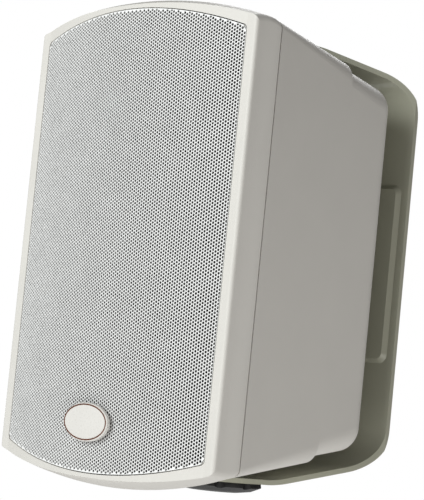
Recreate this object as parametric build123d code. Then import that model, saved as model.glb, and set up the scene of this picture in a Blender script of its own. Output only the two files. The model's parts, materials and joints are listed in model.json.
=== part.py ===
from build123d import *
import math
import os

os.makedirs("parts", exist_ok=True)

# Driving dimensions in millimetres. The wall is the plane Y = 0, the front faces -Y, +Z is up.
WALL_TO_GRILLE = 161.0
PIVOT_BACK = 93.0
GRILLE_WIDTH = 173.5
GRILLE_SIDE_HEIGHT = 244.8
GRILLE_ARCH = 13.4
GRILLE_BOW = 10.3
GRILLE_SHEET = 1.0
GRILLE_RETURN = 4.5
GRILLE_CORNER = 3.0
BEZEL_SIDE = 7.8
BEZEL_TOP = 7.4
BEZEL_ROLL = 9.0
BEZEL_ROUND = 2.2
BROW_BACK = 13.0
SEAM_BACK = 18.9
SEAM_SIDE = 9.25
SEAM_TOP = 5.9
SEAM_GAP = 0.8
OUTER_ARCH = 15.0
OUTER_CORNER = 4.5
CABINET_DEPTH = 133.0
SIDE_TAPER = 13.0
CABINET_SLOPE = 0.19
SADDLE_BACK = 89.0
SADDLE_DROP = 3.2
REAR_ROUND = 10.0
REAR_CORNER = 16.0
WALL = 4.0
BOARD_BACK = 6.0
BOARD = 5.0
CLEAR = 0.3

# Bracket
BRACKET_WIDTH = 157.5
PLATE = 3.0
ARM = 3.0
ARM_LIFT = 4.3
ARM_TIP = 34.0
ARM_FLAT = 16.0
ARM_SLOPE = 20.5
ARM_FLARE = 11.0
FLARE_ROUND = 25.0
ARM_BEND = 30.0
PAD_HEIGHT = 110.0
PAD_WIDTH = 147.0
PAD_RAISE = 2.5
HOLE_SPACING_X = 90.0
HOLE_SPACING_Z = 70.0
HOLE_R = 2.75

# Pivot and knobs
WASHER = 1.0
WASHER_R = 12.0
STUD_R = 4.0
INSERT_R = 7.0
INSERT_LENGTH = 12.0
KNOB_R = 29.5
KNOB_HEIGHT = 7.0
KNOB_FLUTES = 10

# Drivers
WOOFER_Z = -45.0
WOOFER_R = 71.0
FRAME_FLANGE = 3.0
MAGNET_R = 45.0
MAGNET = 16.0
COIL_R = 13.1
TWEETER_Z = 78.0
HORN_WIDTH = 118.0
HORN_HEIGHT = 80.0
DOME_R = 12.7

# Terminals and crossover
CUP_Z = -35.0
CUP_WIDTH = 60.0
CUP_HEIGHT = 46.0
CUP_DEPTH = 22.0
CUP_WALL = 2.0
CUP_FLANGE = 2.5
CUP_LIP = 8.0
POST_SPACING = 24.0
CAP_R = 6.5
BADGE_WIDTH = 38.6
BADGE_HEIGHT = 22.4
BADGE_RISE = 4.2
BADGE_PLATE = 2.3
BADGE_STEP = 2.5
BADGE_Z = -106.7

# Derived positions
Y_EDGE = -WALL_TO_GRILLE
Y_PIVOT = Y_EDGE + PIVOT_BACK
Y_SEAM = Y_EDGE + SEAM_BACK
Y_REAR = Y_EDGE + CABINET_DEPTH
Y_SADDLE = Y_EDGE + SADDLE_BACK
Y_BROW = Y_EDGE + BROW_BACK
Y_BOARD = Y_EDGE + BOARD_BACK
Y_BOARD_REAR = Y_BOARD + BOARD
HALF_W = GRILLE_WIDTH / 2
HALF_H = GRILLE_SIDE_HEIGHT / 2 + GRILLE_ARCH
ARCH_R = (HALF_W**2 + GRILLE_ARCH**2) / (2 * GRILLE_ARCH)
BOW_R = (HALF_W**2 + GRILLE_BOW**2) / (2 * GRILLE_BOW)
Y_APEX = Y_EDGE - GRILLE_BOW
Y_AHEAD = Y_APEX - 3
SEAM_HALF_W = HALF_W + SEAM_SIDE
SEAM_HALF_H = HALF_H + SEAM_TOP
OUTER_ARCH_R = (SEAM_HALF_W**2 + OUTER_ARCH**2) / (2 * OUTER_ARCH)
REAR_HALF_W = SEAM_HALF_W - SIDE_TAPER
REAR_HALF_H = SEAM_HALF_H - CABINET_SLOPE * (CABINET_DEPTH - SEAM_BACK)
ARM_INNER = SEAM_HALF_H - CABINET_SLOPE * (PIVOT_BACK - SEAM_BACK) + ARM_LIFT
ARM_HEIGHT = ARM_INNER + ARM
SEAT_Z = ARM_INNER - WASHER - 0.2
POCKET_R = ARM_TIP + 4


def upright(y):
    """Plane across the speaker at depth y, with X to the right and Z up."""
    return Plane(origin=(0, y, 0), x_dir=(1, 0, 0), z_dir=(0, -1, 0))


def barrel(half_w, half_h, corner, arch_r=ARCH_R):
    """Outline with straight sides and arched top and bottom."""
    side = half_h - arch_r + math.sqrt(arch_r**2 - half_w**2)
    edges = [
        ThreePointArc((-half_w, side), (0, half_h), (half_w, side)),
        Line((half_w, side), (half_w, -side)),
        ThreePointArc((half_w, -side), (0, -half_h), (-half_w, -side)),
        Line((-half_w, -side), (-half_w, side)),
    ]
    return fillet(make_face(edges).vertices(), corner)


def moulding(half_w, half_h, corner):
    """Outline of the cabinet mouldings, arched less than the grille."""
    return barrel(half_w, half_h, corner, OUTER_ARCH_R)


def prism(sketch, y0, y1):
    return extrude(upright(y0) * sketch, amount=y1 - y0, dir=(0, 1, 0))


def taper(front, y0, rear, y1):
    return loft([upright(y0) * front, upright(y1) * rear])


def bow(inset):
    """Tall cylinder whose front face is the bowed front, moved back by inset."""
    return Pos(0, Y_APEX + BOW_R, 0) * Cylinder(BOW_R - inset, 4 * HALF_H)


def disc(r, y0, y1, x=0, z=0):
    return Pos(x, (y0 + y1) / 2, z) * Rot(90, 0, 0) * Cylinder(r, y1 - y0)


def ring(outer, inner, y0, y1, x=0, z=0):
    return disc(outer, y0, y1, x, z) - disc(inner, y0 - 1, y1 + 1, x, z)


def post(r, z0, z1, x=0, y=0):
    return Pos(x, y, (z0 + z1) / 2) * Cylinder(r, abs(z1 - z0))


def turn(points, z=0):
    """Solid of revolution about a line along Y at height z, from (radius, y) points."""
    return Pos(0, 0, z) * revolve(make_face(Polyline(*points, close=True)), Axis.Y)


def dome(rim_r, y_apex, y_rim):
    """Arc from a point on the axis to a rim, of a sphere centred on the axis."""
    rise = y_rim - y_apex
    sphere_r = (rim_r**2 + rise**2) / (2 * rise)
    half_angle = math.asin(rim_r / sphere_r) / 2
    middle = (sphere_r * math.sin(half_angle), y_apex + sphere_r * (1 - math.cos(half_angle)))
    return ThreePointArc((0, y_apex), middle, (rim_r, y_rim))


def block(x0, x1, y0, y1, z0, z1):
    return Pos((x0 + x1) / 2, (y0 + y1) / 2, (z0 + z1) / 2) * Box(x1 - x0, y1 - y0, z1 - z0)


def plate(width, height, corner, y0, y1, z=0):
    return Pos(0, 0, z) * prism(RectangleRounded(width, height, corner), y0, y1)


def mirrored(shape):
    return mirror(shape, about=Plane.XY)


def save(name, shape):
    export_step(shape, "parts/" + name + ".step")


def save_group(name, shapes):
    save(name, Compound(children=[s for shape in shapes for s in shape.solids()]))


def screw(x, z, y_seat, length, head_r=3.2, head=2.2, shank_r=1.6):
    """Screw driven towards +Y, its head's underside on y_seat."""
    return disc(head_r, y_seat - head, y_seat, x, z) + disc(shank_r, y_seat, y_seat + length, x, z)


# Front baffle: rolled over at top and bottom, flat strips beside the bowed grille, a board behind it
def bezel(y):
    """Outer outline at depth y: falls towards the front from the brow, narrows to the seam behind it."""
    t = max(0.0, (Y_BROW - y) / (Y_BROW - Y_AHEAD))
    s = max(0.0, (y - Y_BROW) / (Y_RIM - Y_BROW))
    side = BEZEL_SIDE + (SEAM_SIDE - BEZEL_SIDE) * max(0.0, (y - Y_EDGE) / (Y_RIM - Y_EDGE))
    top = BEZEL_TOP - BEZEL_ROLL * (1 - math.sqrt(1 - t**2)) - (BEZEL_TOP - SEAM_TOP) * s
    return moulding(HALF_W + side, HALF_H + top, OUTER_CORNER)


Y_RIM = Y_SEAM - SEAM_GAP / 2
roll_places = [Y_AHEAD, Y_APEX, (Y_APEX + Y_EDGE) / 2, Y_EDGE, Y_BROW, Y_RIM]
baffle = loft([upright(y) * bezel(y) for y in roll_places])
FRONT_W = HALF_W + BEZEL_SIDE
turn_in = BEZEL_ROUND * (1 - math.sqrt(0.5))
front_right = [
    Line((HALF_W, Y_EDGE), (FRONT_W - BEZEL_ROUND, Y_EDGE)),
    ThreePointArc(
        (FRONT_W - BEZEL_ROUND, Y_EDGE), (FRONT_W - turn_in, Y_EDGE + turn_in), (FRONT_W, Y_EDGE + BEZEL_ROUND)
    ),
    Line((FRONT_W, Y_EDGE + BEZEL_ROUND), (2 * FRONT_W, Y_SEAM)),
    Line((2 * FRONT_W, Y_SEAM), (0, Y_SEAM)),
]
front_left = [mirror(edge, about=Plane.YZ) for edge in front_right]
front_bow = ThreePointArc((-HALF_W, Y_EDGE), (0, Y_APEX), (HALF_W, Y_EDGE))
baffle &= extrude(make_face(front_right + front_left + [front_bow]), amount=2 * HALF_H, both=True)
baffle -= prism(barrel(HALF_W + CLEAR, HALF_H + CLEAR, GRILLE_CORNER), Y_AHEAD, Y_BOARD)
baffle -= prism(moulding(SEAM_HALF_W - WALL - 1, SEAM_HALF_H - WALL - 1, OUTER_CORNER), Y_BOARD_REAR, Y_SEAM + 1)
WOOFER_HOLE = WOOFER_R - 11
baffle -= disc(WOOFER_HOLE, Y_BOARD - 1, Y_BOARD_REAR + 1, z=WOOFER_Z)
baffle -= plate(HORN_WIDTH - 12, HORN_HEIGHT - 10, 10, Y_BOARD - 1, Y_BOARD_REAR + 1, TWEETER_Z)

BOSS_X = HALF_W - 6.75
BOSS_Z = GRILLE_SIDE_HEIGHT / 2 - 22
boss_points = [(sx * BOSS_X, z) for sx in (-1, 1) for z in (-BOSS_Z, 0, BOSS_Z)]
WOOFER_BOLT = (WOOFER_R - 5) * math.sqrt(0.5)
woofer_points = [(sx * WOOFER_BOLT, WOOFER_Z + sz * WOOFER_BOLT) for sx in (-1, 1) for sz in (-1, 1)]
HORN_BOLT_X = HORN_WIDTH / 2 - 6
HORN_BOLT_Z = HORN_HEIGHT / 2 - 6
horn_points = [(sx * HORN_BOLT_X, TWEETER_Z + sz * HORN_BOLT_Z) for sx in (-1, 1) for sz in (-1, 1)]
for x, z in boss_points + woofer_points + horn_points:
    baffle -= disc(1.6 + CLEAR, Y_BOARD - 1, Y_BOARD_REAR + 1, x, z)
save("front_baffle", baffle)

# Grille with its returned edge, and the cloth behind it
outline = barrel(HALF_W, HALF_H, GRILLE_CORNER)
inner_outline = barrel(HALF_W - GRILLE_SHEET, HALF_H - GRILLE_SHEET, GRILLE_CORNER - GRILLE_SHEET)
grille = prism(outline, Y_AHEAD, Y_EDGE + GRILLE_RETURN) & bow(0)
grille -= prism(inner_outline, Y_AHEAD, Y_EDGE + GRILLE_RETURN + 1) & bow(GRILLE_SHEET)
save("grille", grille)
cloth_outline = barrel(HALF_W - GRILLE_SHEET - CLEAR, HALF_H - GRILLE_SHEET - CLEAR, GRILLE_CORNER)
CLOTH_FRONT = GRILLE_SHEET + CLEAR
cloth = prism(cloth_outline, Y_AHEAD, Y_EDGE + GRILLE_RETURN) & (bow(CLOTH_FRONT) - bow(CLOTH_FRONT + 0.5))
save("grille_cloth", cloth)

# Badge: a bare oval plate with a raised ring, on a narrower foot
Y_BADGE = Y_APEX - BADGE_RISE
foot_sketch = Ellipse(BADGE_WIDTH / 2 - BADGE_STEP, BADGE_HEIGHT / 2 - BADGE_STEP)
badge = prism(Ellipse(BADGE_WIDTH / 2, BADGE_HEIGHT / 2), Y_BADGE, Y_BADGE + BADGE_PLATE)
badge = Pos(0, 0, BADGE_Z) * (badge + prism(foot_sketch, Y_BADGE + BADGE_PLATE, Y_EDGE))
badge -= bow(-0.1)
badge = chamfer(badge.faces().sort_by(Axis.Y)[0].edges(), 0.5)
save("badge", badge)
ring_sketch = Ellipse(BADGE_WIDTH / 2 - 0.7, BADGE_HEIGHT / 2 - 0.7)
ring_sketch -= Ellipse(BADGE_WIDTH / 2 - 1.4, BADGE_HEIGHT / 2 - 1.4)
save("badge_ring", Pos(0, 0, BADGE_Z) * prism(ring_sketch, Y_BADGE - 0.2, Y_BADGE))

# Rear cabinet: tapered shell, lowered saddles behind, flat pivot seats in round pockets
Y_LIP = Y_SEAM + SEAM_GAP / 2


def hull(inset, drop):
    """Tapered cabinet body, inset all round, its top and bottom lowered by drop."""
    front = moulding(SEAM_HALF_W - inset, SEAM_HALF_H - inset - drop, OUTER_CORNER)
    rear = moulding(REAR_HALF_W - inset, REAR_HALF_H - inset - drop, REAR_CORNER)
    return taper(front, Y_LIP - (1 if inset else 0), rear, Y_REAR - inset)


def behind(y):
    return block(-2 * HALF_W, 2 * HALF_W, y, Y_REAR + 50, -2 * HALF_H, 2 * HALF_H)


def pockets(r, z):
    top = post(r, z, 2 * HALF_H, 0, Y_PIVOT)
    return top + mirrored(top)


saddle = hull(0, SADDLE_DROP)
saddle = fillet(saddle.faces().sort_by(Axis.Y)[-1].edges(), REAR_ROUND)
shell = (hull(0, 0) - behind(Y_SADDLE)) + (saddle & behind(Y_SADDLE))
shell -= pockets(POCKET_R, SEAT_Z)
cavity = (hull(WALL, 0) - behind(Y_SADDLE - WALL)) + hull(WALL, SADDLE_DROP)
cavity -= pockets(POCKET_R + WALL, SEAT_Z - WALL)
shell -= cavity
seat = post(INSERT_R + 5, SEAT_Z - INSERT_LENGTH - 4, SEAT_Z, 0, Y_PIVOT) + post(
    WASHER_R + 2, SEAT_Z - ARM_LIFT - 2 * WALL, SEAT_Z, 0, Y_PIVOT
)
shell += seat + mirrored(seat)
bore = post(INSERT_R + CLEAR, SEAT_Z - INSERT_LENGTH - CLEAR, SEAT_Z + 1, 0, Y_PIVOT)
shell -= bore + mirrored(bore)
for x, z in boss_points:
    shell += disc(5, Y_BOARD_REAR, Y_SEAM + 26, x, z)
    x_wall = math.copysign(SEAM_HALF_W - WALL + 1, x)
    shell += block(min(x, x_wall), max(x, x_wall), Y_LIP, Y_SEAM + 14, z - 1.5, z + 1.5)
    shell -= disc(1.6 + CLEAR, Y_BOARD_REAR - 1, Y_SEAM + 20, x, z)
cup_opening = plate(CUP_WIDTH + 2 * CLEAR, CUP_HEIGHT + 2 * CLEAR, 5, Y_REAR - 2 * WALL, Y_REAR + 1, CUP_Z)
shell -= cup_opening
cup_points = [
    (sx * (CUP_WIDTH / 2 + CUP_LIP / 2), CUP_Z + sz * (CUP_HEIGHT / 2 + CUP_LIP / 2)) for sx in (-1, 1) for sz in (-1, 1)
]
for x, z in cup_points:
    shell -= disc(1.2 + CLEAR, Y_REAR - 2 * WALL, Y_REAR + 1, x, z)
save("rear_cabinet", shell)

gasket = prism(moulding(SEAM_HALF_W - 1.4, SEAM_HALF_H - 1.4, OUTER_CORNER - 1.4), Y_RIM, Y_LIP)
gasket -= prism(moulding(SEAM_HALF_W - WALL, SEAM_HALF_H - WALL, OUTER_CORNER - 1.4), Y_RIM - 1, Y_LIP + 1)
save("seam_gasket", gasket)
save_group("baffle_screws", [screw(x, z, Y_BOARD, 24) for x, z in boss_points])

# Bracket: one C-shaped band, trimmed in plan to a rounded tip on each arm
def c_band(arm_z, rear_y, bend, inset):
    """Filled side profile of the C from the arm tips to the wall, as (y, z) points."""
    slope = math.tan(math.radians(ARM_SLOPE))
    y_tip = Y_PIVOT - 2 * ARM_TIP
    y_flat = Y_PIVOT + ARM_FLAT - inset * math.tan(math.radians(ARM_SLOPE / 2))
    z_rear = arm_z - (rear_y - y_flat) * slope
    half = [(y_tip, arm_z), (y_flat, arm_z), (rear_y, z_rear)]
    points = half + [(y, -z) for y, z in reversed(half)]
    path = FilletPolyline(*points[:1], *points[1:], radius=bend)
    face = make_face([path.edges(), Line(path @ 1, path @ 0)])
    return extrude(Plane.YZ * face, amount=BRACKET_WIDTH / 2, both=True)


tip = Pos(0, Y_PIVOT) * Circle(ARM_TIP)
half_b = BRACKET_WIDTH / 2
y_flare = Y_PIVOT + ARM_FLARE
arm_plan = Polyline(
    (-ARM_TIP, Y_PIVOT),
    (ARM_TIP, Y_PIVOT),
    (ARM_TIP, y_flare),
    (half_b, -PLATE),
    (half_b, 1),
    (-half_b, 1),
    (-half_b, -PLATE),
    (-ARM_TIP, y_flare),
    close=True,
)
plan = make_face(arm_plan) + tip
plan = fillet(plan.vertices().group_by(Axis.Y)[1], FLARE_ROUND)
plan_body = extrude(Pos(0, 0, -2 * HALF_H) * plan, amount=4 * HALF_H)
bracket = c_band(ARM_HEIGHT, 0, ARM_BEND, 0) - c_band(ARM_INNER, -PLATE, ARM_BEND - ARM, ARM)
bracket &= plan_body
pad_face = RectangleRounded(PAD_WIDTH, PAD_HEIGHT, 6)
pad_front = RectangleRounded(PAD_WIDTH - 2 * PAD_RAISE, PAD_HEIGHT - 2 * PAD_RAISE, 4)
bracket += taper(pad_front, -PLATE - PAD_RAISE, pad_face, -PLATE)
for sx in (-1, 1):
    for sz in (-1, 1):
        bracket -= disc(HOLE_R, -PLATE - 2 * PAD_RAISE, 1, sx * HOLE_SPACING_X / 2, sz * HOLE_SPACING_Z / 2)
arm_hole = post(STUD_R + CLEAR, SEAT_Z, 2 * HALF_H, 0, Y_PIVOT)
bracket -= arm_hole + mirrored(arm_hole)
save("c_bracket", bracket)

washer = post(WASHER_R, SEAT_Z, SEAT_Z + WASHER, 0, Y_PIVOT) - post(STUD_R + CLEAR, SEAT_Z - 1, 2 * SEAT_Z, 0, Y_PIVOT)
save_group("pivot_washers", [washer, mirrored(washer)])
insert = post(INSERT_R, SEAT_Z - INSERT_LENGTH, SEAT_Z, 0, Y_PIVOT)
insert -= post(STUD_R + CLEAR, SEAT_Z - 2 * INSERT_LENGTH, SEAT_Z + 1, 0, Y_PIVOT)
save_group("pivot_inserts", [insert, mirrored(insert)])

# Knobs: low, fluted and domed, on a moulded-in stud
KNOB_SEAT = ARM_HEIGHT + CLEAR
KNOB_TOP = KNOB_SEAT + KNOB_HEIGHT
knob_profile = Polyline(
    (0, KNOB_SEAT),
    (KNOB_R - 0.5, KNOB_SEAT),
    (KNOB_R, KNOB_SEAT + 0.4 * KNOB_HEIGHT),
    (0.8 * KNOB_R, KNOB_TOP - 1.5),
    (0.55 * KNOB_R, KNOB_TOP - 0.3),
    (0, KNOB_TOP),
    close=True,
)
knob = Pos(0, Y_PIVOT, 0) * revolve(Plane.XZ * make_face(knob_profile), Axis.Z)
for i in range(KNOB_FLUTES):
    a = 2 * math.pi * i / KNOB_FLUTES
    knob -= post(4, KNOB_SEAT - 1, KNOB_TOP + 1, (KNOB_R + 2) * math.cos(a), Y_PIVOT + (KNOB_R + 2) * math.sin(a))
STUD_TOP = KNOB_TOP - 3
knob -= post(STUD_R + CLEAR, KNOB_SEAT - 1, STUD_TOP + CLEAR, 0, Y_PIVOT)
stud = post(STUD_R, SEAT_Z - INSERT_LENGTH + 1, STUD_TOP, 0, Y_PIVOT)
save("upper_knob", knob)
save("upper_knob_stud", stud)
save("lower_knob", mirrored(knob))
save("lower_knob_stud", mirrored(stud))

# Woofer, front to rear
Y_FLANGE = Y_BOARD - FRAME_FLANGE
Y_DISH = Y_BOARD + 40
Y_FRAME_REAR = Y_DISH + 1.5
DISH_R = MAGNET_R - 5
basket = turn(
    [
        (WOOFER_HOLE - 2.5, Y_FLANGE),
        (WOOFER_R, Y_FLANGE),
        (WOOFER_R, Y_BOARD),
        (WOOFER_HOLE - 0.7, Y_BOARD),
        (WOOFER_HOLE - 2, Y_BOARD + 10),
        (DISH_R, Y_FRAME_REAR),
        (22, Y_FRAME_REAR),
        (22, Y_DISH),
        (DISH_R - 1.2, Y_DISH),
        (WOOFER_HOLE - 3.6, Y_BOARD + 9.5),
    ],
    WOOFER_Z,
)
window = block(-20, 20, Y_BOARD + 13, Y_DISH - 4, 0, 2 * WOOFER_R)
for angle in (45, 135, 225, 315):
    basket -= Pos(0, 0, WOOFER_Z) * Rot(0, angle, 0) * window
SPIDER_R = DISH_R + 4
basket += ring(SPIDER_R + 3.2, SPIDER_R - 3, Y_BOARD + 25, Y_BOARD + 27, 0, WOOFER_Z)
for x, z in woofer_points:
    basket -= disc(1.6 + CLEAR, Y_FLANGE - 1, Y_BOARD + 1, x, z)
save("woofer_basket", basket)
Y_PLATE_REAR = Y_FRAME_REAR + 5
Y_MAGNET_REAR = Y_PLATE_REAR + MAGNET
save("woofer_front_plate", ring(DISH_R, COIL_R + 0.8, Y_FRAME_REAR, Y_PLATE_REAR, 0, WOOFER_Z))
save("woofer_magnet", ring(MAGNET_R, MAGNET_R / 2, Y_PLATE_REAR, Y_MAGNET_REAR, 0, WOOFER_Z))
POLE_R = COIL_R - 1.1
yoke = disc(DISH_R, Y_MAGNET_REAR, Y_MAGNET_REAR + 5, 0, WOOFER_Z) + disc(
    POLE_R, Y_FRAME_REAR, Y_MAGNET_REAR + 1, 0, WOOFER_Z
)
save("woofer_yoke", yoke)
CONE_R = WOOFER_HOLE - 13
NECK_R = COIL_R + CLEAR
Y_NECK = Y_BOARD + 18.5
Y_CONE = Y_BOARD - 2.5
cone_slope = (Y_NECK - Y_CONE) / (CONE_R - NECK_R)
cone_points = [(NECK_R, Y_NECK), (CONE_R, Y_CONE), (CONE_R, Y_CONE + 1.2), (NECK_R, Y_NECK + 1.5)]
save("woofer_cone", turn(cone_points, WOOFER_Z))
CAP_RIM = COIL_R + 6.5
Y_CAP = Y_NECK - (CAP_RIM - NECK_R) * cone_slope - 0.4
CAP_RISE = 6.8
CAP_SKIN = 0.8
cap_front = dome(CAP_RIM, Y_CAP - CAP_RISE - CAP_SKIN, Y_CAP - CAP_SKIN)
cap_rear = dome(CAP_RIM, Y_CAP - CAP_RISE, Y_CAP)
cap_arcs = [cap_front, Line(cap_front @ 1, cap_rear @ 1), cap_rear, Line(cap_rear @ 0, cap_front @ 0)]
save("woofer_dust_cap", Pos(0, 0, WOOFER_Z) * revolve(make_face(cap_arcs), Axis.Y))
save("woofer_voice_coil", ring(COIL_R, COIL_R - 0.6, Y_NECK - 0.5, Y_PLATE_REAR + 2, 0, WOOFER_Z))
ROLL_R = (WOOFER_HOLE - 2.5 - CONE_R) / 2 - CLEAR
ROLL_MID = (WOOFER_HOLE - 2.5 + CONE_R) / 2
Y_ROLL = Y_BOARD - 2.1
roll_arcs = [
    ThreePointArc((ROLL_MID - ROLL_R, Y_ROLL), (ROLL_MID, Y_ROLL - ROLL_R), (ROLL_MID + ROLL_R, Y_ROLL)),
    Line((ROLL_MID + ROLL_R, Y_ROLL), (ROLL_MID + ROLL_R - 0.9, Y_ROLL)),
    ThreePointArc(
        (ROLL_MID + ROLL_R - 0.9, Y_ROLL), (ROLL_MID, Y_ROLL - ROLL_R + 0.9), (ROLL_MID - ROLL_R + 0.9, Y_ROLL)
    ),
    Line((ROLL_MID - ROLL_R + 0.9, Y_ROLL), (ROLL_MID - ROLL_R, Y_ROLL)),
]
save("woofer_surround", Pos(0, 0, WOOFER_Z) * revolve(make_face(roll_arcs), Axis.Y))
Y_SPIDER = Y_BOARD + 24.2
waves = 6
step = (SPIDER_R - NECK_R) / waves
spider_front = [(NECK_R + i * step, Y_SPIDER - 1.2 * (i % 2)) for i in range(waves + 1)]
spider_rear = [(r, y + 0.6) for r, y in reversed(spider_front)]
save("woofer_spider", turn(spider_front + spider_rear, WOOFER_Z))
save_group("woofer_screws", [screw(x, z, Y_FLANGE, 14) for x, z in woofer_points])

# Tweeter, front to rear
Y_THROAT = Y_BOARD + 27
Y_HORN_REAR = Y_THROAT + 3
THROAT = 2 * DOME_R


def horn_body(grow):
    mouth = RectangleRounded(HORN_WIDTH - 18 + grow, HORN_HEIGHT - 16 + grow, 9 + grow / 2)
    middle = RectangleRounded(HORN_WIDTH * 0.44 + grow, HORN_HEIGHT * 0.48 + grow, 12)
    throat = RectangleRounded(THROAT + grow, THROAT + grow, (THROAT + grow) / 2 - 0.05)
    sections = [upright(Y_FLANGE) * mouth, upright(Y_BOARD + 8) * middle, upright(Y_THROAT) * throat]
    return Pos(0, 0, TWEETER_Z) * loft(sections)


horn = plate(HORN_WIDTH, HORN_HEIGHT, 10, Y_FLANGE, Y_BOARD, TWEETER_Z) + horn_body(4)
horn += disc(28, Y_THROAT, Y_HORN_REAR, 0, TWEETER_Z)
horn -= horn_body(0)
horn -= disc(DOME_R + CLEAR, Y_THROAT, Y_HORN_REAR + 1, 0, TWEETER_Z)
for x, z in horn_points:
    horn -= disc(1.6 + CLEAR, Y_FLANGE - 1, Y_BOARD + 1, x, z)
save("tweeter_horn", horn)
save_group("horn_screws", [screw(x, z, Y_FLANGE, 12) for x, z in horn_points])
Y_SUSPENSION = Y_HORN_REAR + 0.4
save("tweeter_surround", ring(18, DOME_R + CLEAR, Y_HORN_REAR, Y_SUSPENSION, 0, TWEETER_Z))
Y_TWEETER_PLATE = Y_SUSPENSION + 4
save("tweeter_front_plate", ring(28, DOME_R + 0.7, Y_SUSPENSION, Y_TWEETER_PLATE, 0, TWEETER_Z))
save("tweeter_magnet", ring(30, 17, Y_TWEETER_PLATE, Y_TWEETER_PLATE + 10, 0, TWEETER_Z))
tweeter_yoke = disc(28, Y_TWEETER_PLATE + 10, Y_TWEETER_PLATE + 14, 0, TWEETER_Z)
tweeter_yoke += disc(DOME_R - 1.2, Y_SUSPENSION + 1, Y_TWEETER_PLATE + 11, 0, TWEETER_Z)
save("tweeter_yoke", tweeter_yoke)
Y_DOME = Y_HORN_REAR + 0.2
FORMER = 0.6
DOME_RISE = 3.0
former_in = DOME_R - FORMER
dome_front = dome(DOME_R, Y_DOME - DOME_RISE - FORMER, Y_DOME)
dome_rear = dome(former_in, Y_DOME - DOME_RISE, Y_DOME)
dome_arcs = [
    dome_front,
    Line((DOME_R, Y_DOME), (DOME_R, Y_DOME + 5)),
    Line((DOME_R, Y_DOME + 5), (former_in, Y_DOME + 5)),
    Line((former_in, Y_DOME + 5), (former_in, Y_DOME)),
    dome_rear,
    Line(dome_rear @ 0, dome_front @ 0),
]
save("tweeter_dome", Pos(0, 0, TWEETER_Z) * revolve(make_face(dome_arcs), Axis.Y))

# Terminal cup, posts and crossover
Y_CUP = Y_REAR - CUP_DEPTH
cup = plate(CUP_WIDTH + 2 * CUP_LIP, CUP_HEIGHT + 2 * CUP_LIP, 8, Y_REAR + 0.8, Y_REAR + 0.8 + CUP_FLANGE, CUP_Z)
cup += plate(CUP_WIDTH, CUP_HEIGHT, 5, Y_CUP - CUP_WALL, Y_REAR + 1, CUP_Z)
cup -= plate(CUP_WIDTH - 2 * CUP_WALL, CUP_HEIGHT - 2 * CUP_WALL, 3.5, Y_CUP, Y_REAR + 10, CUP_Z)
Y_PCB = Y_CUP - CUP_WALL - 5
PEG_X = CUP_WIDTH / 2 - 6
PEG_Z = CUP_HEIGHT / 2 - 6
for sx in (-1, 1):
    for sz in (-1, 1):
        cup += disc(3, Y_PCB, Y_CUP - CUP_WALL, sx * PEG_X, CUP_Z + sz * PEG_Z)
for sx in (-1, 1):
    cup -= disc(2.5 + CLEAR, Y_CUP - 2 * CUP_WALL, Y_CUP + 1, sx * POST_SPACING / 2, CUP_Z)
for x, z in cup_points:
    cup -= disc(1.2 + CLEAR, Y_REAR, Y_REAR + 5, x, z)
save("terminal_cup", cup)
cup_seal = plate(CUP_WIDTH + 2 * CUP_LIP - 2, CUP_HEIGHT + 2 * CUP_LIP - 2, 7, Y_REAR, Y_REAR + 0.8, CUP_Z)
cup_seal -= plate(CUP_WIDTH + 2 * CLEAR, CUP_HEIGHT + 2 * CLEAR, 5, Y_REAR - 1, Y_REAR + 2, CUP_Z)
for x, z in cup_points:
    cup_seal -= disc(1.2 + CLEAR, Y_REAR - 1, Y_REAR + 2, x, z)
save("terminal_gasket", cup_seal)
Y_CUP_FACE = Y_REAR + 0.8 + CUP_FLANGE
terminal_screws = [
    disc(2.4, Y_CUP_FACE, Y_CUP_FACE + 1.6, x, z) + disc(1.2, Y_REAR - WALL - 3, Y_CUP_FACE, x, z) for x, z in cup_points
]
save_group("terminal_screws", terminal_screws)
post_x = POST_SPACING / 2
Y_COLLAR = Y_CUP + 2.3
Y_CAP_TOP = Y_COLLAR + 14.2
terminal_studs = [
    disc(2.5, Y_PCB - 4, Y_CAP_TOP - 2.5, x, CUP_Z) + disc(5, Y_CUP, Y_COLLAR, x, CUP_Z) for x in (-post_x, post_x)
]
save_group("terminal_studs", terminal_studs)


def post_cap(x):
    cap = Pos(x, 0, CUP_Z) * prism(RegularPolygon(CAP_R, 12), Y_COLLAR + 0.2, Y_CAP_TOP)
    return cap - disc(2.5 + CLEAR, Y_COLLAR - 1, Y_CAP_TOP - 2, x, CUP_Z)


save("red_post_cap", post_cap(post_x))
save("black_post_cap", post_cap(-post_x))
PCB = 1.6
board = plate(CUP_WIDTH + 24, CUP_HEIGHT + 16, 2, Y_PCB - PCB, Y_PCB, CUP_Z)
for x in (-post_x, post_x):
    board -= disc(2.5 + CLEAR, Y_PCB - 2 * PCB, Y_PCB + 1, x, CUP_Z)
save("crossover_board", board)
Y_PARTS = Y_PCB - PCB
COIL_X = CUP_WIDTH / 2 - 6
coils = [ring(14, 6, Y_PARTS - 13, Y_PARTS, sx * COIL_X, CUP_Z + 14) for sx in (-1, 1)]
save_group("crossover_coils", coils)
capacitors = [
    Pos(sx * COIL_X * 0.8, Y_PARTS - 6, CUP_Z - 17) * Rot(0, 90, 0) * Cylinder(6, 26) for sx in (-1, 1)
]
save_group("crossover_capacitors", capacitors)
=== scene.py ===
import json
import math

import bmesh
import bpy
import numpy as np
from mathutils import Matrix, Vector


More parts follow.
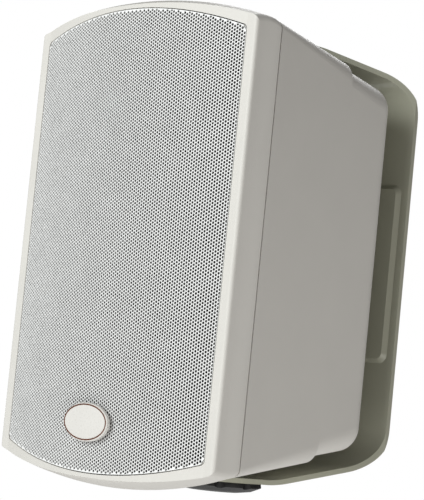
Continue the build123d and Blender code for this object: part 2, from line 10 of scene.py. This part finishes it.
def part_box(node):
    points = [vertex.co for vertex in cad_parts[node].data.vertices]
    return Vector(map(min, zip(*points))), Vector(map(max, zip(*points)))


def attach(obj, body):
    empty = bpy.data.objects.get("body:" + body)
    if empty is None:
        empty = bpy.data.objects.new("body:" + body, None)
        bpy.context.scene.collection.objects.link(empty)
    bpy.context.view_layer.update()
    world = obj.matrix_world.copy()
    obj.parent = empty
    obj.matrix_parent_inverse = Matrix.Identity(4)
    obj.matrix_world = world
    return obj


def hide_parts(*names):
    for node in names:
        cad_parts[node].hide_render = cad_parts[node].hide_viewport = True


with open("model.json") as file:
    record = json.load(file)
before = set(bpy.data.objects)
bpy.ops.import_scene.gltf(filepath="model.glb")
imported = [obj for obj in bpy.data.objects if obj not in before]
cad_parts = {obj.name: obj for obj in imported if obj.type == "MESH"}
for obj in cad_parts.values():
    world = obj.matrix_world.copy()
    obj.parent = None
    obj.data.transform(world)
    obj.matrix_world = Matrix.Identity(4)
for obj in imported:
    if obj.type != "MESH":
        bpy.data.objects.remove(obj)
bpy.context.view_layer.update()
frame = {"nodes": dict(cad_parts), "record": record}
nodes = frame["nodes"]

# Camera, as fitted to the photograph, with the image taken as 424 x 500 pixels
IMAGE_HEIGHT = 500
FOCAL_PIXELS = 1980.43
YAW, PITCH, ROLL = math.radians(46.45), math.radians(-4.13), math.radians(5.62)
DISTANCE = 1.102
TARGET_X = 0.0765
TARGET_Z = -0.0041
SENSOR = 36.0

# Grille sheet, in metres: its holes, its thickness, the wall of its turned edge, its rise and its corners
HOLE_PITCH = 0.002
HOLE_R = 0.0009
SHEET = 0.0007
RETURN_WALL = 0.0004
ARCH = 0.0134
BOW = 0.0103
CORNER = 0.003
GRILLE_BANDS = ("upper", "middle", "lower")

# Six-sided cells round the holes: their corners in grid units, and as many sides to a hole
CELL_CORNERS = ((2, 0), (1, 1), (-1, 1), (-2, 0), (-1, -1), (1, -1))
HOLE_SIDES = len(CELL_CORNERS)
RETURN_POINTS = 121

# In metres: the sheet's edge in from the CAD outline, and a hole's centre and rim in from the sheet's edge
EDGE_INSET = 0.0003
EDGE_REACH = 0.0005
EDGE_WEB = 0.0002

# Smaller faces, in square metres, are left out, and nearer points, in metres, are joined
MIN_AREA = 1e-10
WELD = 1e-6

# Map for baking, in shares of the square
MAP_MARGIN = 0.01
MAP_WIDTH = 0.47
MAP_HEIGHT = 0.98
MAP_BACK = 0.5
MAP_RIM = 0.004

# Part of the noise that a ramp spreads, scales of noise and waves per metre, and how far the gloss varies
RAMP_START, RAMP_END = 0.3, 0.7
PLASTIC_DRIFT = 35
PLASTIC_GLOSS = 0.06
GRAIN_STRENGTH = 0.5
PAINT_DRIFT = 60
PAINT_PEEL = 900
PAINT_GLOSS = 0.05
METAL_GRAIN = 1500
METAL_DRIFT = 120
THREADS = 700
THREAD_STRENGTH = 0.4
THREAD_DEPTH = 0.0002
CLOTH_ROUGHNESS = 0.95

# Studio
FLOOR_Z = -1.0
FLOOR_SIZE = 8
FLOOR_DRIFT = 3
FLOOR_GLOW = 0.3
AMBIENT = 0.1
COOL = (0.97, 1.0, 1.0)
WARM = (1.0, 0.97, 0.93)
NEUTRAL = (1.0, 1.0, 1.0)


def srgb(r, g, b):
    """Linear colour from 0-255 sRGB values."""
    def one(c):
        c /= 255
        return c / 12.92 if c <= 0.04045 else ((c + 0.055) / 1.055) ** 2.4
    return one(r), one(g), one(b), 1.0


def shade(colour, factor):
    """A colour made darker or lighter."""
    return tuple(c * factor for c in colour[:3]) + (1.0,)


def new_material(name, colour, roughness, metallic=0.0):
    """A Principled material; returns it with its node tree and shader."""
    material = bpy.data.materials.new(name)
    material.use_nodes = True
    tree = material.node_tree
    shader = tree.nodes["Principled BSDF"]
    shader.inputs["Base Color"].default_value = colour
    shader.inputs["Roughness"].default_value = roughness
    shader.inputs["Metallic"].default_value = metallic
    return material, tree, shader


def noise(tree, scale, detail=2.0):
    """Noise in object space, in cycles per metre."""
    place = tree.nodes.new("ShaderNodeTexCoord")
    texture = tree.nodes.new("ShaderNodeTexNoise")
    texture.inputs["Scale"].default_value = scale
    texture.inputs["Detail"].default_value = detail
    tree.links.new(place.outputs["Object"], texture.inputs["Vector"])
    return texture.outputs["Fac"]


def vary_roughness(tree, shader, value, low, high):
    node = tree.nodes.new("ShaderNodeMapRange")
    node.inputs["From Min"].default_value = RAMP_START
    node.inputs["From Max"].default_value = RAMP_END
    node.inputs["To Min"].default_value = low
    node.inputs["To Max"].default_value = high
    tree.links.new(value, node.inputs["Value"])
    tree.links.new(node.outputs["Result"], shader.inputs["Roughness"])


def vary_colour(tree, shader, value, dark, light):
    ramp = tree.nodes.new("ShaderNodeValToRGB")
    ramp.color_ramp.elements[0].position = RAMP_START
    ramp.color_ramp.elements[1].position = RAMP_END
    ramp.color_ramp.elements[0].color = dark
    ramp.color_ramp.elements[1].color = light
    tree.links.new(value, ramp.inputs["Fac"])
    tree.links.new(ramp.outputs["Color"], shader.inputs["Base Color"])


def bump(tree, shader, value, strength, distance):
    node = tree.nodes.new("ShaderNodeBump")
    node.inputs["Strength"].default_value = strength
    node.inputs["Distance"].default_value = distance
    tree.links.new(value, node.inputs["Height"])
    tree.links.new(node.outputs["Normal"], shader.inputs["Normal"])


def moulded_plastic(name, colour, roughness, grain, depth, spread=0.04):
    """Plastic with a moulded grain, in cycles per metre and metres deep, and a faint colour drift."""
    material, tree, shader = new_material(name, colour, roughness)
    drift = noise(tree, PLASTIC_DRIFT, 3)
    vary_colour(tree, shader, drift, shade(colour, 1 - spread), shade(colour, 1 + spread / 2))
    fine = noise(tree, grain)
    vary_roughness(tree, shader, fine, roughness - PLASTIC_GLOSS, roughness + PLASTIC_GLOSS)
    bump(tree, shader, fine, GRAIN_STRENGTH, depth)
    return material


def painted(name, colour, roughness):
    """Smooth powder coat with a faintly uneven gloss."""
    material, tree, shader = new_material(name, colour, roughness)
    peel = noise(tree, PAINT_PEEL, 1)
    vary_colour(tree, shader, noise(tree, PAINT_DRIFT), shade(colour, 0.97), shade(colour, 1.02))
    vary_roughness(tree, shader, peel, roughness - PAINT_GLOSS, roughness + PAINT_GLOSS)
    return material


def metal(name, colour, roughness, grain=METAL_GRAIN):
    """Bare metal with a finely uneven gloss, in cycles per metre."""
    material, tree, shader = new_material(name, colour, roughness, 1.0)
    vary_roughness(tree, shader, noise(tree, grain), roughness - 0.08, roughness + 0.1)
    vary_colour(tree, shader, noise(tree, METAL_DRIFT), shade(colour, 0.9), colour)
    return material


def cloth(name, colour):
    """Cloth with fine threads, by one set of waves."""
    material, tree, shader = new_material(name, colour, CLOTH_ROUGHNESS)
    place = tree.nodes.new("ShaderNodeTexCoord")
    wave = tree.nodes.new("ShaderNodeTexWave")
    wave.inputs["Scale"].default_value = THREADS
    tree.links.new(place.outputs["Object"], wave.inputs["Vector"])
    bump(tree, shader, wave.outputs["Fac"], THREAD_STRENGTH, THREAD_DEPTH)
    vary_colour(tree, shader, wave.outputs["Fac"], shade(colour, 0.6), colour)
    return material


def make_materials():
    """One material per record slot: its kind, sRGB colour, roughness and the kind's further values."""
    looks = {
        "shell_white": (moulded_plastic, (226, 223, 217), 0.5, 1400, 0.00012, 0.015),
        "bracket_grey": (moulded_plastic, (180, 180, 163), 0.12, 300, 0.00001, 0.015),
        "knob_black": (moulded_plastic, (18, 18, 19), 0.45, 1600, 0.0001),
        "grille_white": (painted, (252, 252, 251), 0.45),
        "cloth_black": (cloth, (6, 6, 6)),
        "badge_white": (moulded_plastic, (232, 229, 224), 0.3, 700, 0.00003),
        "badge_copper": (metal, (150, 88, 60), 0.4),
        "plated_steel": (metal, (180, 180, 178), 0.35),
        "brass_parts": (metal, (200, 165, 90), 0.3),
        "rubber_black": (moulded_plastic, (28, 28, 28), 0.8, 2200, 0.0001),
        "ferrite": (moulded_plastic, (60, 60, 62), 0.75, 1200, 0.0001),
        "basket_black": (painted, (34, 34, 36), 0.4),
        "cone_grey": (moulded_plastic, (70, 70, 72), 0.5, 900, 0.0001),
        "coil_copper": (metal, (170, 100, 66), 0.35, 3000),
        "spider_cloth": (cloth, (190, 150, 80)),
        "dome_aluminium": (metal, (205, 205, 207), 0.3),
        "horn_black": (moulded_plastic, (32, 32, 33), 0.45, 1500, 0.0001),
        "cap_red": (moulded_plastic, (160, 24, 24), 0.3, 800, 0.00005),
        "cap_black": (moulded_plastic, (26, 26, 26), 0.3, 800, 0.00005),
        "board_green": (moulded_plastic, (50, 92, 58), 0.4, 1000, 0.00005),
        "capacitor_film": (moulded_plastic, (190, 150, 60), 0.35, 700, 0.00005),
    }
    return {slot: kind(slot, srgb(*colour), *further) for slot, (kind, colour, *further) in looks.items()}


def dress_cad(materials):
    """Every carried-over CAD node gets the material of its slot."""
    for entry in frame["record"]["subparts"]:
        mesh = nodes[entry["node"]].data
        mesh.materials.clear()
        mesh.materials.append(materials[entry["material_slot"]])


def add_object(name, data):
    """Links a new object to the scene."""
    made = bpy.data.objects.new(name, data)
    bpy.context.collection.objects.link(made)
    return made


class Sheet:
    """The grille's bowed sheet: s runs along the bow, z up."""

    def __init__(self):
        low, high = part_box("grille")
        self.half_w = high[0] - EDGE_INSET
        self.half_h = high[2] - EDGE_INSET
        self.apex = low[1]
        self.bow_r = (self.half_w**2 + BOW**2) / (2 * BOW)
        self.arch_r = (self.half_w**2 + ARCH**2) / (2 * ARCH)
        self.half_s = self.bow_r * math.asin(self.half_w / self.bow_r)

    def place(self, s, z, depth):
        """Points on the sheet, depth behind its front face."""
        angle = s / self.bow_r
        r = self.bow_r - depth
        return np.stack([r * np.sin(angle), self.apex + self.bow_r - r * np.cos(angle), z], axis=-1)

    def top_at(self, x, inset):
        """Height of the arched upper edge with its rounded corners, for an outline set in all round."""
        arch = self.half_h - inset - self.arch_r + np.sqrt(self.arch_r**2 - x**2)
        turn = np.clip(np.abs(x) - (self.half_w - inset - CORNER), 0, CORNER)
        return arch - CORNER + np.sqrt(CORNER**2 - turn**2)

    def top(self, s, inset):
        return self.top_at(self.bow_r * np.sin(s / self.bow_r), inset)

    def holds(self, s, z, inset):
        """Whether a point lies within the outline set in by inset."""
        return abs(s) < self.half_s - inset and abs(z) < self.top(s, inset)

    def clamp(self, s, z, inset):
        """Brings points beyond the outline, set in by inset, back to it."""
        reach = self.half_s - inset
        s = np.clip(s, -reach, reach)
        top = self.top(s, inset)
        return s, np.clip(z, -top, top)


def cell_centres(sheet):
    """Hole places (a, b) on a 60 degree grid, a in thirds of a column and b in half pitches."""
    column = HOLE_PITCH * math.sqrt(3) / 2
    columns = int(sheet.half_s / column) + 2
    rows = int(sheet.half_h / HOLE_PITCH) + 2
    return [(3 * i, 2 * j + (i & 1)) for i in range(-columns, columns + 1) for j in range(-rows, rows + 1)]


def grille_band(sheet, name, z_low, z_high):
    """A closed piece of the perforated sheet, holes with walls, between two heights."""
    unit_s = HOLE_PITCH * math.sqrt(3) / 6
    unit_z = HOLE_PITCH / 2
    turn = [math.radians(k * 360 / HOLE_SIDES) for k in range(HOLE_SIDES)]
    index, flat, faces, walls = {}, [], [], []

    def vertex(key, s, z, inset):
        if key not in index:
            index[key] = len(flat)
            flat.append((s, z, inset))
        return index[key]

    for a, b in cell_centres(sheet):
        s0, z0 = a * unit_s, b * unit_z
        if not z_low <= z0 < z_high:
            continue
        if abs(s0) > sheet.half_s + HOLE_PITCH or abs(z0) > sheet.half_h + HOLE_PITCH:
            continue
        corner = [
            vertex((a + da, b + db), (a + da) * unit_s, (b + db) * unit_z, 0.0)
            for da, db in CELL_CORNERS
        ]
        if not sheet.holds(s0, z0, EDGE_REACH):
            faces.append(corner)
            continue
        hole = [
            vertex((a, b, k), s0 + HOLE_R * math.cos(t), z0 + HOLE_R * math.sin(t), EDGE_WEB)
            for k, t in enumerate(turn)
        ]
        for k in range(HOLE_SIDES):
            n = (k + 1) % HOLE_SIDES
            faces.append([corner[k], corner[n], hole[n], hole[k]])
            walls.append((hole[k], hole[n], s0, z0))
    s, z = sheet.clamp(*np.array(flat).T)
    return add_object(name, mesh_of_sheet(sheet, name, s, z, faces, walls))


def face_area(s, z, face):
    fs, fz = s[face], z[face]
    return 0.5 * abs(np.dot(fs, np.roll(fz, -1)) - np.dot(fz, np.roll(fs, -1)))


def outer_edges(faces, walls):
    """Edges that one face alone has, apart from those of the holes."""
    hole_edges = {frozenset(w[:2]) for w in walls}
    uses = {}
    for face in faces:
        for p, q in zip(face, face[1:] + face[:1]):
            uses.setdefault(frozenset((p, q)), []).append((p, q))
    return [found[0] for edge, found in uses.items() if len(found) == 1 and edge not in hole_edges]


def mesh_of_sheet(sheet, name, s, z, faces, walls):
    """Gives a flat net of faces its thickness: front, back, hole walls and outer edge."""
    kept = [face for face in faces if face_area(s, z, face) > MIN_AREA]
    rim = outer_edges(kept, walls)
    count = len(s)
    points = np.concatenate([sheet.place(s, z, 0.0), sheet.place(s, z, SHEET)])
    solid = list(kept)
    solid += [[v + count for v in reversed(face)] for face in kept]
    solid += [[p, q, q + count, p + count] for p, q, _, _ in walls]
    solid += [[q, p, p + count, q + count] for p, q in rim]
    mesh = bpy.data.meshes.new(name)
    mesh.from_pydata(points.tolist(), [], solid)
    unwrap(mesh, s, z, kept, walls, rim)
    work = bmesh.new()
    work.from_mesh(mesh)
    bmesh.ops.remove_doubles(work, verts=work.verts, dist=WELD)
    loose = [v for v in work.verts if not v.link_faces]
    bmesh.ops.delete(work, geom=loose, context="VERTS")
    work.to_mesh(mesh)
    work.free()
    return mesh


def unwrap(mesh, s, z, faces, walls, rim):
    """Map for baking: front in the left half, back in the right half, hole walls inside their holes."""
    def half(a, b):
        u = MAP_MARGIN + MAP_WIDTH * (a - s.min()) / np.ptp(s)
        v = MAP_MARGIN + MAP_HEIGHT * (b - z.min()) / np.ptp(z)
        return u, v

    u, v = half(s, z)
    spots = [(u[i], v[i]) for face in faces for i in face]
    spots += [(u[i] + MAP_BACK, v[i]) for face in faces for i in reversed(face)]
    for p, q, s0, z0 in walls:
        u0, v0 = half(s0, z0)
        spots += [(u[i], v[i]) for i in (p, q)]
        spots += [((u[i] + u0) / 2, (v[i] + v0) / 2) for i in (q, p)]
    for p, q in rim:
        spots += [(u[i], v[i]) for i in (q, p)]
        spots += [(u[i] + MAP_RIM, v[i] + MAP_RIM) for i in (p, q)]
    layer = mesh.uv_layers.new(name="OFBake")
    layer.data.foreach_set("uv", np.array(spots, dtype=np.float32).ravel())


def grille_return(sheet):
    """The sheet's edge turned back into the baffle, as one closed wall round the outline."""
    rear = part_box("grille")[1][1]
    across = np.sin(np.linspace(-math.pi / 2, math.pi / 2, RETURN_POINTS))
    loops = []
    for inset in (0.0, RETURN_WALL):
        x = (sheet.half_w - inset) * across
        top = sheet.top_at(x, inset)
        outline = np.concatenate([np.stack([x, top], 1), np.stack([x, -top], 1)[::-1]])
        depth = sheet.apex + sheet.bow_r - np.sqrt((sheet.bow_r - SHEET) ** 2 - outline[:, 0] ** 2)
        for y in (depth, np.full(len(outline), rear)):
            loops.append(np.stack([outline[:, 0], y, outline[:, 1]], 1))
    n = len(loops[0])
    faces = []
    for a, b in ((0, 1), (1, 3), (3, 2), (2, 0)):
        faces += [[a * n + i, a * n + (i + 1) % n, b * n + (i + 1) % n, b * n + i] for i in range(n)]
    mesh = bpy.data.meshes.new("grille_return")
    mesh.from_pydata(np.concatenate(loops).tolist(), [], faces)
    work = bmesh.new()
    work.from_mesh(mesh)
    bmesh.ops.recalc_face_normals(work, faces=work.faces)
    work.to_mesh(mesh)
    work.free()
    return add_object("grille_return", mesh)


def build_grille(material):
    """The perforated sheet in bands, and its turned edge, in place of the CAD grille."""
    sheet = Sheet()
    cuts = np.linspace(sheet.half_h, -sheet.half_h, len(GRILLE_BANDS) + 1)
    cuts[0] += 2 * HOLE_PITCH
    cuts[-1] -= 2 * HOLE_PITCH
    pieces = [grille_return(sheet)]
    for band, high, low in zip(GRILLE_BANDS, cuts[:-1], cuts[1:]):
        pieces.append(grille_band(sheet, "grille_" + band, low, high))
    for piece in pieces:
        piece.data.materials.append(material)
        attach(piece, "cabinet")
        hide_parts("grille")


def camera_axes():
    """Right, up and backward directions of the photograph's camera."""
    back = Vector((math.sin(YAW) * math.cos(PITCH), -math.cos(YAW) * math.cos(PITCH), math.sin(PITCH)))
    right = Vector((0, 0, 1)).cross(back).normalized()
    up = back.cross(right)
    return math.cos(ROLL) * right + math.sin(ROLL) * up, math.cos(ROLL) * up - math.sin(ROLL) * right, back


def build_camera():
    """The photograph's camera, aimed at a point in the plane of the grille's side edges."""
    right, up, back = camera_axes()
    edge_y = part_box("grille")[0][1] + BOW
    target = Vector((TARGET_X, edge_y, TARGET_Z))
    data = bpy.data.cameras.new("camera")
    data.sensor_fit = "VERTICAL"
    data.sensor_height = SENSOR
    data.lens = FOCAL_PIXELS * SENSOR / IMAGE_HEIGHT
    camera = add_object("camera", data)
    rotation = Matrix((right, up, back)).transposed().to_4x4()
    camera.matrix_world = Matrix.Translation(target + back * DISTANCE) @ rotation
    bpy.context.scene.camera = camera


def area_light(name, place, target, side, power, colour):
    """A square light, its side in metres and its power in watts, aimed at target."""
    data = bpy.data.lights.new(name, "AREA")
    data.shape = "RECTANGLE"
    data.size = side
    data.size_y = side
    data.energy = power
    data.color = colour
    lamp = add_object(name, data)
    lamp.location = place
    lamp.rotation_euler = (Vector(target) - Vector(place)).to_track_quat("-Z", "Y").to_euler()


def build_floor():
    """A pale floor that glows faintly."""
    bpy.ops.mesh.primitive_plane_add(size=FLOOR_SIZE, location=(0, 0, FLOOR_Z))
    floor = bpy.context.object
    floor.name = "floor"
    material, tree, shader = new_material("floor_paper", srgb(240, 240, 240), 0.9)
    vary_colour(tree, shader, noise(tree, FLOOR_DRIFT), srgb(238, 238, 238), srgb(243, 243, 243))
    shader.inputs["Emission Color"].default_value = (1, 0.99, 0.97, 1)
    shader.inputs["Emission Strength"].default_value = FLOOR_GLOW
    floor.data.materials.append(material)


def build_world():
    """White where the camera sees it, and otherwise a weak warm light all round."""
    world = bpy.data.worlds.new("studio")
    bpy.context.scene.world = world
    world.use_nodes = True
    tree = world.node_tree
    backdrop = tree.nodes["Background"]
    backdrop.inputs["Color"].default_value = (1, 1, 1, 1)
    backdrop.inputs["Strength"].default_value = 1.0
    ambient = tree.nodes.new("ShaderNodeBackground")
    ambient.inputs["Color"].default_value = (1.0, 0.98, 0.95, 1)
    ambient.inputs["Strength"].default_value = AMBIENT
    path = tree.nodes.new("ShaderNodeLightPath")
    mix = tree.nodes.new("ShaderNodeMixShader")
    tree.links.new(path.outputs["Is Camera Ray"], mix.inputs["Fac"])
    tree.links.new(ambient.outputs["Background"], mix.inputs[1])
    tree.links.new(backdrop.outputs["Background"], mix.inputs[2])
    tree.links.new(mix.outputs["Shader"], tree.nodes["World Output"].inputs["Surface"])


def build_lights():
    """A large soft key in front, weak fills on the right, and a rim light behind on the left."""
    area_light("key", (-0.15, -1.95, 0.6), (0, -0.1, 0), side=1.5, power=33, colour=COOL)
    area_light("fill", (0.7, -0.45, -0.42), (0.06, -0.08, -0.08), side=0.5, power=0.95, colour=WARM)
    area_light("side", (0.5, -0.03, -0.03), (0.07, -0.03, -0.13), side=0.2, power=0.2, colour=NEUTRAL)
    area_light("rim", (-0.7, 1.2, 0.9), (0, -0.05, 0), side=1.0, power=12, colour=NEUTRAL)


materials = make_materials()
dress_cad(materials)
build_grille(materials["grille_white"])
build_camera()
build_floor()
build_world()
build_lights()
bpy.context.scene.view_settings.view_transform = "Standard"
